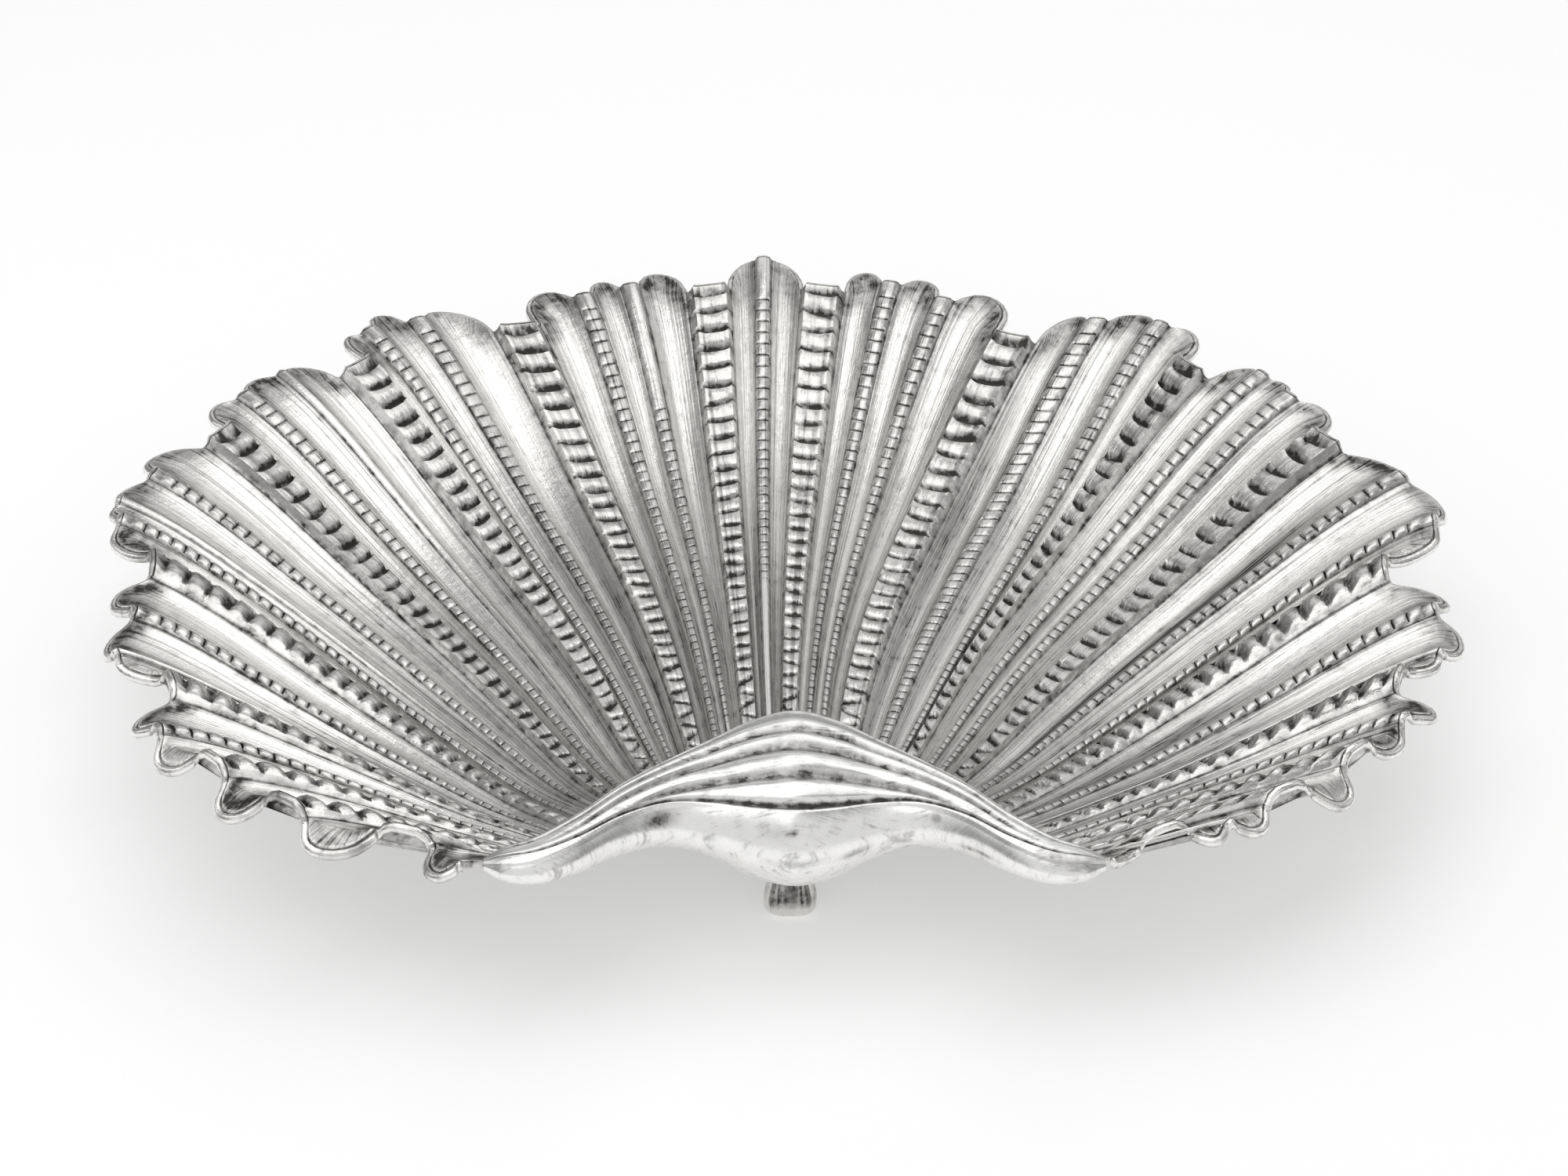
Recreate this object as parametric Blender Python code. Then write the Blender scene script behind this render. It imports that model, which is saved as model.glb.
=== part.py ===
"""Scallop shell platter: a fluted bowl with a ruffled rim, an umbo collar over its front edge and three feet.

Lengths are millimetres and angles degrees until mesh_object turns them into metres.
The origin is on the ground under the middle of the plan, the collar faces -Y and Z is up.
"""

from collections import namedtuple

import bpy
import numpy as np
from mathutils import Vector
from mathutils.bvhtree import BVHTree

MM = 0.001

# Bowl: heights of its upper face above the ground, and the sheet it is cast in
RIM_HEIGHT = 47.0
FLOOR_HEIGHT = 19.0
WALL = 2.0
WALL_RISE = 2.0
FRONT_BLEND = 32.0
CLEARANCE = 0.3
SEAT_SLACK = 0.1

# Plan of the lobe tips: angle clockwise from +Y about the bowl's centre, and radius
BOWL_CENTRE = (0.0, -25.0)
RIM_OUTLINE = (
    (-180, 132), (-165, 137), (-150, 147), (-140, 160), (-125, 171), (-110, 176),
    (-95, 176), (-78, 184), (-60, 183), (-50, 180.5), (-38, 184), (-22, 174), (-3, 177.5),
    (18, 170), (30, 169), (36, 177), (55, 175), (76, 181), (92, 175), (108, 176),
    (125, 168), (140, 154), (150, 146), (165, 137), (180, 132),
)

# Ribs, from the left wing of the collar round to the right one. A rib ends at the rim in a notch
# between two lobes; along is where it leaves the collar, as an x.
Rib = namedtuple("Rib", "kind angle notch along")
RIBS = (
    Rib("end", -149.5, 3, -66), Rib("ladder", -142, 14, -63),
    Rib("ladder", -132, 9, -59.5), Rib("ladder", -123, 9, -56), Rib("beads", -116, 6, -54),
    Rib("ladder", -109, 15, -51.5), Rib("thin", -103.5, 4, -50), Rib("beads", -97, 9, -48.5),
    Rib("ladder", -88.5, 14, -45.5), Rib("beads", -82, 5, -42.5), Rib("thin", -79, 3, -40.5),
    Rib("beads", -74, 7, -38.5), Rib("ladder", -65.5, 13, -35), Rib("beads", -58.5, 5, -32),
    Rib("thin", -53.5, 4, -30), Rib("ladder", -47.6, 16, -27), Rib("beads", -42.5, 5, -24),
    Rib("beads", -37.7, 9, -22), Rib("ladder", -29.4, 21, -18.5), Rib("beads", -21, 9, -13.5),
    Rib("beads", -16, 8, -10.5), Rib("ladder", -8, 16, -6.5), Rib("beads", -2, 1.5, -2.5),
    Rib("ladder", 4.2, 16, 1.5), Rib("beads", 11.2, 8, 5.5), Rib("beads", 17.2, 11, 9),
    Rib("ladder", 26.8, 20.5, 14), Rib("beads", 33.3, 8, 18), Rib("beads", 39, 5, 20.5),
    Rib("ladder", 46.3, 17, 24), Rib("beads", 52.4, 4, 27.5), Rib("beads", 57, 6, 30),
    Rib("ladder", 65.3, 14, 33.5), Rib("beads", 74, 7, 38), Rib("beads", 82, 5, 41),
    Rib("ladder", 88.5, 19, 45), Rib("beads", 96.5, 8, 48.5), Rib("thin", 103.5, 7, 51),
    Rib("ladder", 108, 15, 53.5), Rib("beads", 114.5, 8, 56.5), Rib("ladder", 121.5, 9, 59.5),
    Rib("ladder", 130.5, 7, 63.5), Rib("thin", 137, 4, 66), Rib("ladder", 142, 8, 68),
    Rib("end", 148, 3, 70.5),
)

# How far a row bows sideways from a straight line in plan, by its angle at the rim: the rows on either
# side of the middle bow towards the back
ROW_BOW = (
    (-180, 0), (-150, 0), (-138, 2), (-123, 6), (-100, 8), (-85, 12), (-60, 13.5), (-45, 13.5),
    (-28, 10), (-8, 1), (5, -3.5), (27, -13), (39, -8.5), (47, -13.5), (66, -15.5), (86, -13.5), (98, -8),
    (110, -4), (122, -1), (135, 0), (150, 0), (180, 0),
)

# Cross-section of each kind of rib: its width at the rim, its share of the spacing at the collar,
# and how far it stands above its edges at the rim
RibForm = namedtuple("RibForm", "width share height")
RIB_FORMS = {
    "ladder": RibForm(12.0, 0.46, 1.6),
    "beads": RibForm(4.4, 0.38, 1.4),
    "thin": RibForm(2.4, 0.2, 0.9),
    "end": RibForm(2.4, 0.2, 0.9),
}
CREST_SHARE = 0.62
RIB_PLACE = 0.2
FLUTE_PLACE = 0.25
RUNG_HEIGHT = 1.5
RUNG_PITCH_RIM = 7.0
RUNG_PITCH_COLLAR = 4.8
LADDER_MARGIN = 2.5

# Flutes between the ribs, and the lobes that they end in
FLUTE_DEPTH_SHARE = 0.19
LOBE_DEPTH_SHARES = (
    (-180, 0.17), (-140, 0.2), (-128, 0.33), (-119, 0.33), (-112, 0.17), (-80, 0.05),
    (80, 0.05), (112, 0.15), (126, 0.33), (134, 0.2), (180, 0.17),
)
LOBE_PULL = 1.0
LOBE_SWEEP = 104.0
LOBE_LEAN = 0.5
LOBE_TRIM = (
    (-137, -1), (-127, -2), (-120, -1), (-112, 0), (-106, 7), (-100, 0), (-93, 2.5), (-85, 3), (-80, 0), (-62, 0),
    (-56, -1.5), (-50, 0), (-45, -2), (-40, -3), (-34, 3), (-25, 0), (22, -0.5), (30, 0), (36, -1.5), (49, 1),
    (55, 0), (62, 1.5), (70, 4.5), (78, 0), (85, 6.5), (92, 3.5), (100, 0), (106, 9), (111, 0), (118, 3.5),
    (126, -2), (140, 0), (145, 5),
)
RELIEF_AT_COLLAR = 0.4
RELIEF_START = 9.0
BODY_RINGS = (0.0, 0.12, 0.28, 0.46, 0.62, 0.77, 0.9, 1.0)
LOBE_RINGS = (1.5, 2.0)
WIDE_FLUTE = 9.0
WIDE_FLUTE_COLUMNS = (-0.6, 0.0, 0.6)
NARROW_FLUTE_COLUMNS = (-0.5, 0.5)

# Collar: section centre and half sizes at distances from its middle to either wing tip
COLLAR_X = 2.5
COLLAR_LENGTH = 143.0
COLLAR_STATIONS = (
    # distance, y, z, half depth, half height
    (0, -115, 38, 27, 17),
    (10, -115.5, 38.3, 24, 15.2),
    (20, -118, 40, 18, 11.4),
    (30, -123, 42, 13, 8.6),
    (40, -130.5, 43, 10.8, 7),
    (50, -141, 43.5, 9.2, 5.8),
    (60, -148, 43.5, 6.9, 4.6),
    (68, -149.5, 43.5, 4.3, 3),
    (71.5, -149.5, 43.5, 1.6, 1.4),
)
COLLAR_RINGS = 33
COLLAR_SIDES = 36
COLLAR_FLUTES = 6
FLUTE_HEIGHT = 2.2
SEAM_ANGLE = 45.0
SEAM_ANGLE_WING = 82.0
SEAM_BEND = 1.5
SEAT_BEND = 2.0
LAST_RING = 0.999
CREST_ANGLE = 140.0
SEAT_ANGLE = 235.0
SEAT_ANGLE_WING = 203.0

# Feet: plan position, and heading of the fluted face clockwise from -Y
Foot = namedtuple("Foot", "name x y heading carrier")
FEET = (
    Foot("front_foot", 1.5, -109.0, 0.0, "hinge_collar"),
    Foot("rear_left_foot", -84.0, 48.0, 118.0, "shell_bowl"),
    Foot("rear_right_foot", 84.0, 48.0, -118.0, "shell_bowl"),
)
FOOT_PROFILE = (
    # share of the height, half width, half depth
    (0.0, 4.6, 2.6),
    (0.06, 5.9, 3.4),
    (0.2, 6.5, 3.7),
    (0.45, 5.4, 3.2),
    (0.75, 4.6, 2.8),
    (1.0, 4.2, 2.6),
)
FOOT_SIDES = 20
FOOT_HOLLOW = 0.8
FOOT_SQUARENESS = 0.6

SILVER = (0.80, 0.79, 0.77)


def smooth_curve(points, at):
    """Value of a smooth curve through (place, value) points."""
    places, values = np.array(points, float).T
    slopes = np.gradient(values, places)
    i = np.clip(np.searchsorted(places, at, side="right") - 1, 0, len(places) - 2)
    span = places[i + 1] - places[i]
    s = (at - places[i]) / span
    start = (1 + 2 * s) * (1 - s) ** 2 * values[i] + s * (1 - s) ** 2 * span * slopes[i]
    end = s**2 * (3 - 2 * s) * values[i + 1] + s**2 * (s - 1) * span * slopes[i + 1]
    return start + end


def turned(angle):
    """Unit vector in plan, clockwise from +Y."""
    return np.array([np.sin(np.radians(angle)), np.cos(np.radians(angle))])


def rim_point(angle, notch=0.0):
    return np.array(BOWL_CENTRE) + (smooth_curve(RIM_OUTLINE, angle) - notch) * turned(angle)


def angle_of(point):
    """Angle clockwise from +Y of a plan point, about the bowl's centre."""
    reach = point - np.array(BOWL_CENTRE)
    return np.degrees(np.arctan2(reach[0], reach[1]))


def dish_height(point):
    """Height of the bowl's plain upper face: a flat floor, a rising wall and a rim that flares level."""
    distance = np.hypot(*(point - np.array(BOWL_CENTRE)))
    share = min(distance / smooth_curve(RIM_OUTLINE, angle_of(point)), 1.0)
    rise = (1 - np.cos(np.pi * share**WALL_RISE)) / 2
    return FLOOR_HEIGHT + (RIM_HEIGHT - FLOOR_HEIGHT) * rise


def collar_section(x):
    """Centre y and z, half depth and half height of the collar at x."""
    distance = abs(x - COLLAR_X)
    found = []
    for column in (1, 2, 3, 4):
        half = [(row[0], row[column]) for row in COLLAR_STATIONS]
        mirrored = [(-place, value) for place, value in reversed(half[1:])]
        found.append(smooth_curve(mirrored + half, distance))
    return found


def wing_share(x):
    """0 in the middle of the collar and 1 at a wing tip."""
    return abs(x - COLLAR_X) / (COLLAR_LENGTH / 2)


def collar_seat(x):
    """Where the bowl's upper edge meets the collar's lower back, clear of it by the gap."""
    y, z, depth, height = collar_section(x)
    angle = np.radians(SEAT_ANGLE + (SEAT_ANGLE_WING - SEAT_ANGLE) * wing_share(x) ** SEAT_BEND)
    normal = np.array([-np.cos(angle) / depth, np.sin(angle) / height])
    normal *= (CLEARANCE + SEAT_SLACK) / np.hypot(*normal)
    return np.array([x, y - depth * np.cos(angle) + normal[0], z + height * np.sin(angle) + normal[1]])


class Column:
    """A line on the bowl from the collar (0) out to the rim (1), and on a flute on to the lobe tip (2)."""

    def __init__(self, place, along, rim, tip=None):
        self.place = place
        self.seat = collar_seat(along)
        self.rim = rim
        self.tip = tip

    def plan(self, t):
        if t > 1:
            return self.rim + (self.tip - self.rim) * (t - 1)
        chord = self.rim - self.seat[:2]
        side = np.array([chord[1], -chord[0]]) / np.hypot(*chord)
        bow = smooth_curve(ROW_BOW, angle_of(self.rim))
        return self.seat[:2] + chord * t + side * bow * 4 * t * (1 - t)

    def base(self, t):
        """Point on the bowl before its relief, and how strong the relief is there."""
        point = self.plan(t)
        away = np.hypot(*(point - self.seat[:2]))
        front = (self.seat[2] - dish_height(self.seat[:2])) * np.exp(-((away / FRONT_BLEND) ** 2))
        strength = RELIEF_AT_COLLAR + (1 - RELIEF_AT_COLLAR) * min(t, 1)
        strength *= 1 - np.exp(-((away / RELIEF_START) ** 2))
        return np.array([*point, dish_height(point) + front]), strength

    def line(self, rings, relief):
        """Points at the rings, raised by relief(t) millimetres."""
        points = []
        for t in rings:
            point, strength = self.base(t)
            point[2] += strength * relief(t)
            points.append(point)
        return np.array(points)


def rib_edges(index):
    """The rib's two edges as (along, rim angle), left one first."""
    rib = RIBS[index]
    form = RIB_FORMS[rib.kind]
    near = [abs(RIBS[i].along - rib.along) for i in (index - 1, index + 1) if 0 <= i < len(RIBS)]
    half_along = form.share * min(near) if rib.kind == "ladder" else form.share * min(near) / 2
    radius = smooth_curve(RIM_OUTLINE, rib.angle) - rib.notch
    half_angle = np.degrees(form.width / 2 / radius)
    return [(rib.along + side * half_along, rib.angle + side * half_angle) for side in (-1, 1)]


def rung_rings(length):
    """Rings at the slots and the tops of a ladder's rungs, closer together towards the collar."""
    first = LADDER_MARGIN / length
    pitch = (RUNG_PITCH_RIM + RUNG_PITCH_COLLAR) / 2
    count = max(2, int(round((length - 2 * LADDER_MARGIN) / pitch)))
    steps = np.arange(2 * count + 1) / (2 * count)
    widening = (RUNG_PITCH_RIM - RUNG_PITCH_COLLAR) / (RUNG_PITCH_RIM + RUNG_PITCH_COLLAR)
    steps = steps * (1 - widening) + widening * steps**2
    return np.concatenate([[0.0], first + (1 - 2 * first) * steps, [1.0]])


def rib_columns(index):
    """(rings, points, place) of each line on a rib's upper face, from its left edge to its right one."""
    rib = RIBS[index]
    form = RIB_FORMS[rib.kind]
    (left_along, left_angle), (right_along, right_angle) = rib_edges(index)
    lines = []
    for step in (-1, -CREST_SHARE, CREST_SHARE, 1) if rib.kind == "ladder" else (-1, 0, 1):
        share = (step + 1) / 2
        along = left_along + share * (right_along - left_along)
        rim = rim_point(left_angle + share * (right_angle - left_angle), rib.notch)
        column = Column(index + RIB_PLACE * step, along, rim)
        raised = form.height if abs(step) < 1 else 0.0
        points = column.line(BODY_RINGS, lambda t: raised)
        rings = np.array(BODY_RINGS)
        if rib.kind == "ladder" and abs(step) < 1:
            length = np.hypot(*(column.rim - column.seat[:2]))
            rings = rung_rings(length)
            points = np.array([np.interp(rings, BODY_RINGS, points[:, axis]) for axis in range(3)]).T
            tops = slice(2, len(rings) - 1, 2)
            points[tops, 2] += RUNG_HEIGHT * np.interp(rings[tops], (0, 0.1, 1), (0, RELIEF_AT_COLLAR, 1))
        lines.append((rings, points, column.place))
    return lines


def lobe_reach(left, right, outermost):
    """From the middle of a lobe's neck to its tip, which leans half way towards the neck's own normal."""
    across = right - left
    normal = np.array([-across[1], across[0]]) / np.hypot(*across)
    straight = outermost - (left + right) / 2
    return (1 - LOBE_LEAN) * straight + LOBE_LEAN * (straight @ normal) * normal


def lobe_point(left, right, u, reach):
    """Point on a lobe's rounded edge, which is wider than the neck between two notches."""
    sweep = np.radians(LOBE_SWEEP)
    out = (np.cos(u * sweep) - np.cos(sweep)) / (1 - np.cos(sweep))
    return (left + right) / 2 + (right - left) / 2 * np.sin(u * sweep) / np.sin(sweep) + reach * out


def flute_columns(index):
    """(rings, points, place) of the lines on the flute between rib index and the next one."""
    along_left, angle_left = rib_edges(index)[1]
    along_right, angle_right = rib_edges(index + 1)[0]
    left = rim_point(angle_left, RIBS[index].notch)
    right = rim_point(angle_right, RIBS[index + 1].notch)
    neck = np.hypot(*(right - left))
    middle_angle = (angle_left + angle_right) / 2
    lip_share = np.interp(middle_angle, *np.array(LOBE_DEPTH_SHARES).T)
    pull = LOBE_PULL * lip_share * neck * max(0.0, -np.cos(np.radians(middle_angle)))
    pull += np.interp(middle_angle, *np.array(LOBE_TRIM).T)
    reach = lobe_reach(left, right, rim_point(middle_angle, pull))
    lines = []
    for u in WIDE_FLUTE_COLUMNS if neck > WIDE_FLUTE else NARROW_FLUTE_COLUMNS:
        share = (u + 1) / 2
        along = along_left + share * (along_right - along_left)
        rim = left + share * (right - left)
        column = Column(index + 0.5 + FLUTE_PLACE * u, along, rim, lobe_point(left, right, u, reach))
        hollow = neck * (1 - u * u)

        def relief(t):
            body = -FLUTE_DEPTH_SHARE * hollow
            lip = -lip_share * neck * (1 - u * u)
            return body if t <= 1 else body + (lip - body) * (t - 1)

        rings = BODY_RINGS + LOBE_RINGS
        lines.append((np.array(rings), column.line(rings, relief), column.place))
    return lines


def zip_strip(first, second):
    """Triangles between two rows of (place, vertex number), taking the row that lags at each step."""
    faces = []
    i = j = 0
    while i < len(first) - 1 or j < len(second) - 1:
        step_first = j == len(second) - 1
        if i < len(first) - 1 and j < len(second) - 1:
            step_first = first[i + 1][0] <= second[j + 1][0]
        if step_first:
            faces.append((first[i][1], second[j][1], first[i + 1][1]))
            i += 1
        else:
            faces.append((first[i][1], second[j][1], second[j + 1][1]))
            j += 1
    return faces


def turned_over(faces):
    return [(a, c, b) for a, b, c in faces]


def shell_mesh():
    """Vertices and faces of the bowl: upper face, underside a wall below it, and the edges between."""
    upper = []
    lower = []
    for index in range(len(RIBS)):
        rib_lines = rib_columns(index)
        upper += rib_lines
        lower += [rib_lines[0], rib_lines[-1]] if RIBS[index].kind in ("ladder", "end") else [rib_lines[1]]
        if index < len(RIBS) - 1:
            flute_lines = flute_columns(index)
            upper += flute_lines
            lower += flute_lines
    verts = []

    def add(lines, drop):
        numbered = []
        for rings, points, place in lines:
            numbered.append([(ring, len(verts) + k) for k, ring in enumerate(rings)])
            verts.extend(points - np.array([0, 0, drop]))
        return numbered

    top = add(upper, 0.0)
    bottom = add(lower, WALL)
    faces = []
    for left, right in zip(top, top[1:]):
        faces += zip_strip(left, right)
    for left, right in zip(bottom, bottom[1:]):
        faces += turned_over(zip_strip(left, right))
    for end in (0, -1):
        top_edge = [(line[2], row[end][1]) for line, row in zip(upper, top)]
        bottom_edge = [(line[2], row[end][1]) for line, row in zip(lower, bottom)]
        strip = zip_strip(top_edge, bottom_edge)
        faces += strip if end == 0 else turned_over(strip)
    faces += zip_strip(bottom[0], top[0])
    faces += zip_strip(top[-1], bottom[-1])
    return verts, faces


def seam_angle(x):
    """Section angle at which the collar's smooth front band ends and its flutes begin."""
    return SEAM_ANGLE + (SEAM_ANGLE_WING - SEAM_ANGLE) * wing_share(x) ** SEAM_BEND


def collar_point(x, angle):
    """Point on the collar's skin; the angle runs from its front face (0) over the top (90) to the back."""
    y, z, depth, height = collar_section(x)
    seam = seam_angle(x)
    phase = (angle - seam) / (CREST_ANGLE - seam)
    swell = 1.0
    if 0 < phase < 1:
        ridge = abs(np.sin(np.pi * COLLAR_FLUTES * phase))
        swell += FLUTE_HEIGHT * (ridge - 0.5) / COLLAR_STATIONS[0][4]
    turn = np.radians(angle)
    return np.array([x, y - depth * swell * np.cos(turn), z + height * swell * np.sin(turn)])


def collar_angles():
    """Section angles, close together over the flutes and wide apart below."""
    fluted = np.linspace(SEAM_ANGLE, CREST_ANGLE, 2 * COLLAR_FLUTES + 1)
    plain = np.linspace(CREST_ANGLE, SEAM_ANGLE + 360, COLLAR_SIDES - 2 * COLLAR_FLUTES + 1)
    return np.concatenate([fluted, plain[1:-1]])


def collar_mesh():
    """Vertices and faces of the collar: rings along X, each drawn to a point past its wing tip."""
    half = COLLAR_LENGTH / 2
    places = COLLAR_X + half * np.sin(np.linspace(-np.pi / 2, np.pi / 2, COLLAR_RINGS)) * LAST_RING
    angles = collar_angles()
    verts = []
    for x in places:
        seam = seam_angle(x)
        for angle in angles:
            if angle <= CREST_ANGLE:
                share = (angle - SEAM_ANGLE) / (CREST_ANGLE - SEAM_ANGLE)
                shown = seam + share * (CREST_ANGLE - seam)
            else:
                share = (angle - CREST_ANGLE) / (SEAM_ANGLE + 360 - CREST_ANGLE)
                shown = CREST_ANGLE + share * (seam + 360 - CREST_ANGLE)
            verts.append(collar_point(x, shown))
    count = len(angles)
    faces = []
    for ring in range(len(places) - 1):
        for k in range(count):
            a, b = ring * count + k, ring * count + (k + 1) % count
            faces += [(a, b + count, b), (a, a + count, b + count)]
    for ring, tip_side in ((0, -1), (len(places) - 1, 1)):
        y, z, _, _ = collar_section(places[ring])
        tip = len(verts)
        verts.append(np.array([COLLAR_X + tip_side * half, y, z]))
        for k in range(count):
            a, b = ring * count + k, ring * count + (k + 1) % count
            faces.append((a, b, tip) if tip_side < 0 else (a, tip, b))
    return verts, faces


def seat_height(carrier, foot):
    """How tall a foot stands: up to the lowest point of its carrier over the foot's top, less the gap."""
    tree = BVHTree.FromPolygons([Vector(v) for v in carrier[0]], carrier[1])
    _, half_width, half_depth = FOOT_PROFILE[-1]
    heights = []
    for across in np.linspace(-1, 1, 7):
        for deep in np.linspace(-1, 1, 7):
            spot = foot_plan(foot, across * half_width, deep * half_depth)
            hit = tree.ray_cast(Vector((*spot, 0.0)), Vector((0, 0, 1)))[0]
            heights.append(hit.z)
    return min(heights) - CLEARANCE


def foot_plan(foot, across, deep):
    """Plan point from the foot's own axes: across its fluted face, and deep away from it."""
    heading = np.radians(foot.heading)
    right = np.array([np.cos(heading), -np.sin(heading)])
    back = np.array([np.sin(heading), np.cos(heading)])
    return np.array([foot.x, foot.y]) + across * right + deep * back


def squared(wave):
    """Pushes a round section towards a rounded rectangle."""
    return np.sign(wave) * abs(wave) ** FOOT_SQUARENESS


def foot_mesh(foot, carrier):
    """A small flared foot with a hollow front face, a flat base and a flat top."""
    top = seat_height(carrier, foot)
    verts = []
    for share, half_width, half_depth in FOOT_PROFILE:
        for turn in np.arange(FOOT_SIDES) * 2 * np.pi / FOOT_SIDES:
            across = half_width * squared(np.cos(turn))
            deep = half_depth * squared(np.sin(turn))
            if deep < 0:
                deep += FOOT_HOLLOW * max(0.0, 1 - (across / half_width) ** 2)
            verts.append(np.array([*foot_plan(foot, across, deep), share * top]))
    faces = [tuple(reversed(range(FOOT_SIDES)))]
    for ring in range(len(FOOT_PROFILE) - 1):
        for k in range(FOOT_SIDES):
            a = ring * FOOT_SIDES + k
            b = ring * FOOT_SIDES + (k + 1) % FOOT_SIDES
            faces.append((a, b, b + FOOT_SIDES, a + FOOT_SIDES))
    last = (len(FOOT_PROFILE) - 1) * FOOT_SIDES
    faces.append(tuple(range(last, last + FOOT_SIDES)))
    return verts, faces


def silver(name, roughness):
    material = bpy.data.materials.new(name)
    material.use_nodes = True
    shader = material.node_tree.nodes["Principled BSDF"]
    shader.inputs["Base Color"].default_value = (*SILVER, 1)
    shader.inputs["Metallic"].default_value = 1.0
    shader.inputs["Roughness"].default_value = roughness
    return material


def mesh_object(name, mesh_data, material):
    verts, faces = mesh_data
    mesh = bpy.data.meshes.new(name)
    mesh.from_pydata([tuple(np.array(v) * MM) for v in verts], [], faces)
    mesh.materials.append(material)
    mesh.shade_smooth()
    mesh.set_sharp_from_angle(angle=np.radians(40))
    obj = bpy.data.objects.new(name, mesh)
    bpy.context.scene.collection.objects.link(obj)
    return obj


def main():
    for obj in list(bpy.data.objects):
        bpy.data.objects.remove(obj)
    meshes = {"shell_bowl": shell_mesh(), "hinge_collar": collar_mesh()}
    mesh_object("shell_bowl", meshes["shell_bowl"], silver("chased silver", 0.3))
    mesh_object("hinge_collar", meshes["hinge_collar"], silver("polished silver", 0.16))
    foot_finish = silver("cast silver", 0.35)
    for foot in FEET:
        mesh_object(foot.name, foot_mesh(foot, meshes[foot.carrier]), foot_finish)


main()
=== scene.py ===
from collections import namedtuple

import bpy
import numpy as np
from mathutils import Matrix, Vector


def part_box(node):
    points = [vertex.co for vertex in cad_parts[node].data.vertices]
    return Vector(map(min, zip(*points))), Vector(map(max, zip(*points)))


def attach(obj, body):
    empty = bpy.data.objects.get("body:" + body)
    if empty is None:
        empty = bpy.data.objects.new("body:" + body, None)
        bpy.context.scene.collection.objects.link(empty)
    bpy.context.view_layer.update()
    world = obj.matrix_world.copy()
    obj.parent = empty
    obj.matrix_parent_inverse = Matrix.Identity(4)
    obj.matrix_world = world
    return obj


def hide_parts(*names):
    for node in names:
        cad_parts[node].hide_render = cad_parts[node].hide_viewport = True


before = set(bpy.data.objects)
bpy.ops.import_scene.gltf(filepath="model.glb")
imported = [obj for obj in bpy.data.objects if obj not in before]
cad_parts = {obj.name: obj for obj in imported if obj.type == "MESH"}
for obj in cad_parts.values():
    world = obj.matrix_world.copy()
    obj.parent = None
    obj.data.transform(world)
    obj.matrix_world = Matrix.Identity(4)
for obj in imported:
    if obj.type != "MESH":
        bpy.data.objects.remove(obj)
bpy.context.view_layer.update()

# Shapes are worked out in millimetres, in the part's own frame, and become metres in mesh_piece
MM = 0.001
rng = np.random.default_rng(7)

# The part's sizes, as its solids have them, apart from the lobes' depth, the collar's seam and the feet's
# hollows, which were fitted to the photograph again. Angles in plan are degrees clockwise from +Y
RIM_HEIGHT = 47.0
FLOOR_HEIGHT = 19.0
WALL = 2.0
WALL_RISE = 2.0
FRONT_BLEND = 32.0
BOWL_CENTRE = np.array([0.0, -25.0])
RIM_OUTLINE = (
    (-180, 132), (-165, 137), (-150, 147), (-140, 160), (-125, 171), (-110, 176),
    (-95, 176), (-78, 184), (-60, 183), (-50, 180.5), (-38, 184), (-22, 174), (-3, 177.5),
    (18, 170), (30, 169), (36, 177), (55, 175), (76, 181), (92, 175), (108, 176),
    (125, 168), (140, 154), (150, 146), (165, 137), (180, 132),
)
# Ribs from the left wing to the right one: where each meets the rim, how far its notch cuts in there,
# and where along X it leaves the collar
Rib = namedtuple("Rib", "kind angle notch along")
RIBS = (
    Rib("end", -149.5, 3, -66), Rib("ladder", -142, 14, -63),
    Rib("ladder", -132, 9, -59.5), Rib("ladder", -123, 9, -56), Rib("beads", -116, 6, -54),
    Rib("ladder", -109, 15, -51.5), Rib("thin", -103.5, 4, -50), Rib("beads", -97, 9, -48.5),
    Rib("ladder", -88.5, 14, -45.5), Rib("beads", -82, 5, -42.5), Rib("thin", -79, 3, -40.5),
    Rib("beads", -74, 7, -38.5), Rib("ladder", -65.5, 13, -35), Rib("beads", -58.5, 5, -32),
    Rib("thin", -53.5, 4, -30), Rib("ladder", -47.6, 16, -27), Rib("beads", -42.5, 5, -24),
    Rib("beads", -37.7, 9, -22), Rib("ladder", -29.4, 21, -18.5), Rib("beads", -21, 9, -13.5),
    Rib("beads", -16, 8, -10.5), Rib("ladder", -8, 16, -6.5), Rib("beads", -2, 1.5, -2.5),
    Rib("ladder", 4.2, 16, 1.5), Rib("beads", 11.2, 8, 5.5), Rib("beads", 17.2, 11, 9),
    Rib("ladder", 26.8, 20.5, 14), Rib("beads", 33.3, 8, 18), Rib("beads", 39, 5, 20.5),
    Rib("ladder", 46.3, 17, 24), Rib("beads", 52.4, 4, 27.5), Rib("beads", 57, 6, 30),
    Rib("ladder", 65.3, 14, 33.5), Rib("beads", 74, 7, 38), Rib("beads", 82, 5, 41),
    Rib("ladder", 88.5, 19, 45), Rib("beads", 96.5, 8, 48.5), Rib("thin", 103.5, 7, 51),
    Rib("ladder", 108, 15, 53.5), Rib("beads", 114.5, 8, 56.5), Rib("ladder", 121.5, 9, 59.5),
    Rib("ladder", 130.5, 7, 63.5), Rib("thin", 137, 4, 66), Rib("ladder", 142, 8, 68),
    Rib("end", 148, 3, 70.5),
)
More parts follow.
